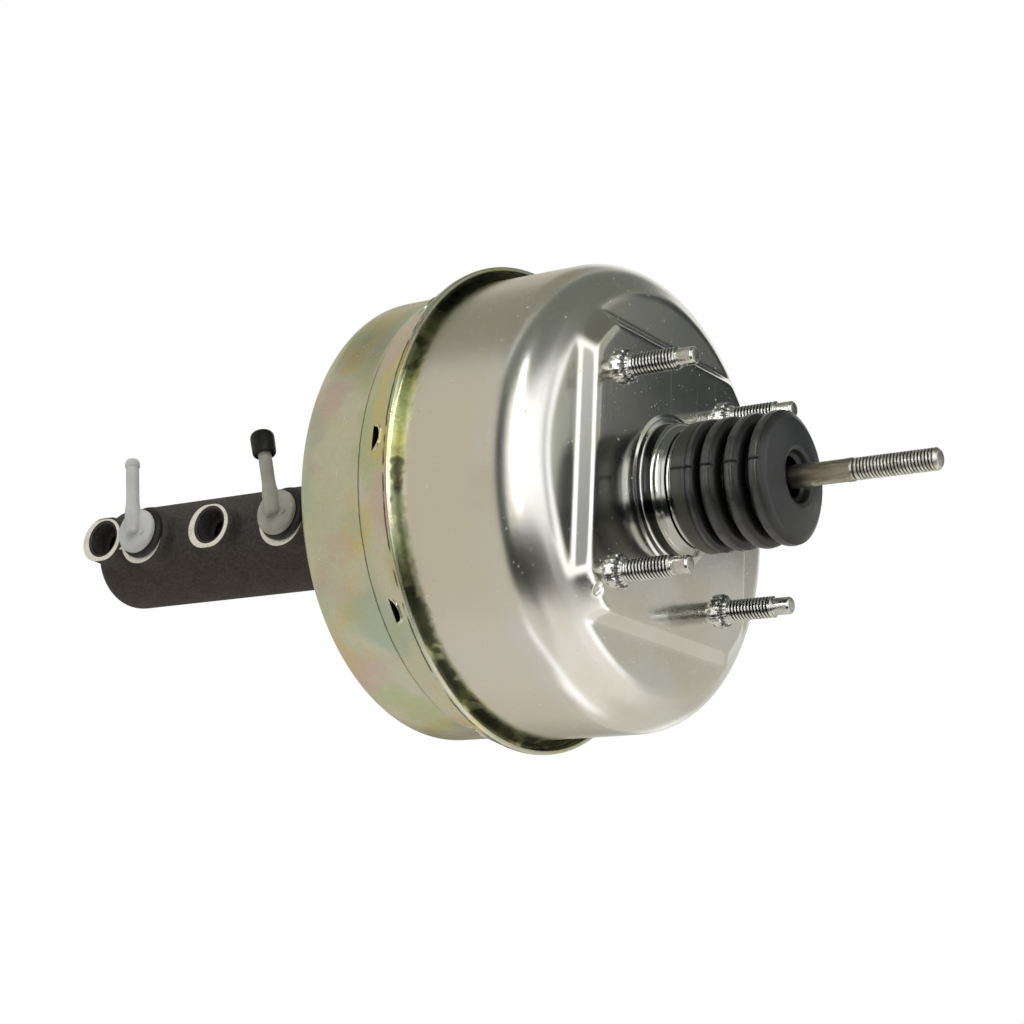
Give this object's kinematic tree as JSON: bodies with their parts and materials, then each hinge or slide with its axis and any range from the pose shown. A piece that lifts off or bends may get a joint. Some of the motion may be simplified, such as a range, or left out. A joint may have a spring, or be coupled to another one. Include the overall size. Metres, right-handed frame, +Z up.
{
  "type": "brake booster",
  "caption": "Vacuum brake booster with a two-piece drum, square firewall pad with studs, bellows boot, threaded push rod and a tandem master cylinder with elbow inlets.",
  "frame": {"origin": "centre of the four firewall studs, on the pad face that lies on the firewall", "axes": "+X along the booster's axis towards the brake pedal, +Z up as in the picture, +Y away from the side that carries the ports and inlet elbows"},
  "size_m": [0.444, 0.218, 0.218],
  "materials": {
    "front_shell": "yellow chromated zinc",
    "rear_shell": "bright zinc plate",
    "stud_zinc": "bright zinc plate",
    "inner_steel": "zinc plate",
    "plate_zinc": "yellow chromated zinc",
    "spring_steel": "oiled spring steel",
    "rod_steel": "drawn steel",
    "boot_rubber": "matt",
    "rubber": "matt",
    "valve_resin": "moulded resin",
    "filter_felt": "felt",
    "mc_casting": "bare grey casting, oiled",
    "piston_alloy": "machined",
    "seat_brass": "machined",
    "elbow_plastic": "milky moulding",
    "check_valve_plastic": "moulded"
  },
  "bodies": {
    "housing": {"front_shell": "front_shell", "rear_shell": "rear_shell", "front_plate": "inner_steel", "mc_studs": "stud_zinc", "mc_nuts": "stud_zinc", "firewall_studs": "stud_zinc", "rear_seal": "rubber", "seal_retainer": "inner_steel", "boot": "boot_rubber", "diaphragm": "rubber", "return_spring": "spring_steel", "mc_body": "mc_casting", "mc_seal_ring": "rubber", "stop_washer": "inner_steel", "snap_ring": "spring_steel", "stop_screw": "stud_zinc", "tube_seats": "seat_brass", "inlet_grommets": "rubber", "check_grommet": "rubber", "primary_spring": "spring_steel", "secondary_spring": "spring_steel"},
    "power_piston": {"valve_body": "valve_resin", "diaphragm_plate": "plate_zinc", "valve_key": "inner_steel", "reaction_disc": "rubber", "output_rod": "plate_zinc", "adjuster_screw": "plate_zinc", "output_retainer": "spring_steel", "poppet": "rubber", "poppet_retainer": "inner_steel", "poppet_spring": "spring_steel", "rod_spring": "spring_steel", "air_filter": "filter_felt", "air_silencer": "inner_steel"},
    "air_valve": {"plunger": "plate_zinc"},
    "push_rod": {"push_rod": "rod_steel", "spring_seat": "inner_steel"},
    "primary_piston": {"primary_piston": "piston_alloy", "primary_cups": "rubber"},
    "secondary_piston": {"secondary_piston": "piston_alloy", "secondary_cups": "rubber"},
    "front_elbow": {"front_elbow": "elbow_plastic"},
    "rear_elbow": {"rear_elbow": "elbow_plastic"},
    "nipple_cap": {"nipple_cap": "rubber"},
    "check_valve": {"check_valve": "check_valve_plastic"}
  },
  "joints": [
    {"name": "booster_stroke", "type": "slide", "parent": "housing", "child": "power_piston", "axis": [-1, 0, 0], "range_m": [0, 0.03], "stiffness_N_per_m": 3500, "springref_m": -0.02, "deforming": ["return_spring", "diaphragm", "boot"]},
    {"name": "valve_travel", "type": "slide", "parent": "power_piston", "child": "air_valve", "axis": [-1, 0, 0], "range_m": [0, 0.002], "stiffness_N_per_m": 2500, "springref_m": -0.005, "deforming": ["poppet_spring", "rod_spring"]},
    {"name": "rod_swivel", "type": "hinge", "parent": "air_valve", "child": "push_rod", "pos_m": [-0.03, 0, 0], "axis": [0, 1, 0], "range_deg": [-2, 2], "stiffness_Nm_per_rad": 25},
    {"name": "primary_stroke", "type": "slide", "parent": "housing", "child": "primary_piston", "axis": [-1, 0, 0], "range_m": [0, 0.03], "deforming": ["primary_spring"]},
    {"name": "secondary_stroke", "type": "slide", "parent": "housing", "child": "secondary_piston", "axis": [-1, 0, 0], "range_m": [0, 0.015], "deforming": ["secondary_spring"]},
    {"name": "front_elbow_swivel", "type": "hinge", "parent": "housing", "child": "front_elbow", "pos_m": [-0.2787, -0.0364, 0.00267], "axis": [0, -0.9973, 0.0732], "range_deg": [-40, 40]},
    {"name": "rear_elbow_swivel", "type": "hinge", "parent": "housing", "child": "rear_elbow", "pos_m": [-0.191, -0.0364, 0.00267], "axis": [0, -0.9973, 0.0732], "range_deg": [-40, 40]},
    {"name": "cap_pull", "type": "slide", "parent": "rear_elbow", "child": "nipple_cap", "axis": [-0.1633, 0.0723, 0.9839], "range_m": [0, 0.013]},
    {"name": "check_valve_swivel", "type": "hinge", "parent": "housing", "child": "check_valve", "pos_m": [-0.128, 0.042, 0.05], "axis": [1, 0, 0], "range_deg": [-60, 60]}
  ],
  "couplings": [
    {"joint": "primary_stroke", "follows": "booster_stroke", "ratio": 1},
    {"joint": "secondary_stroke", "follows": "booster_stroke", "ratio": 0.5}
  ]
}
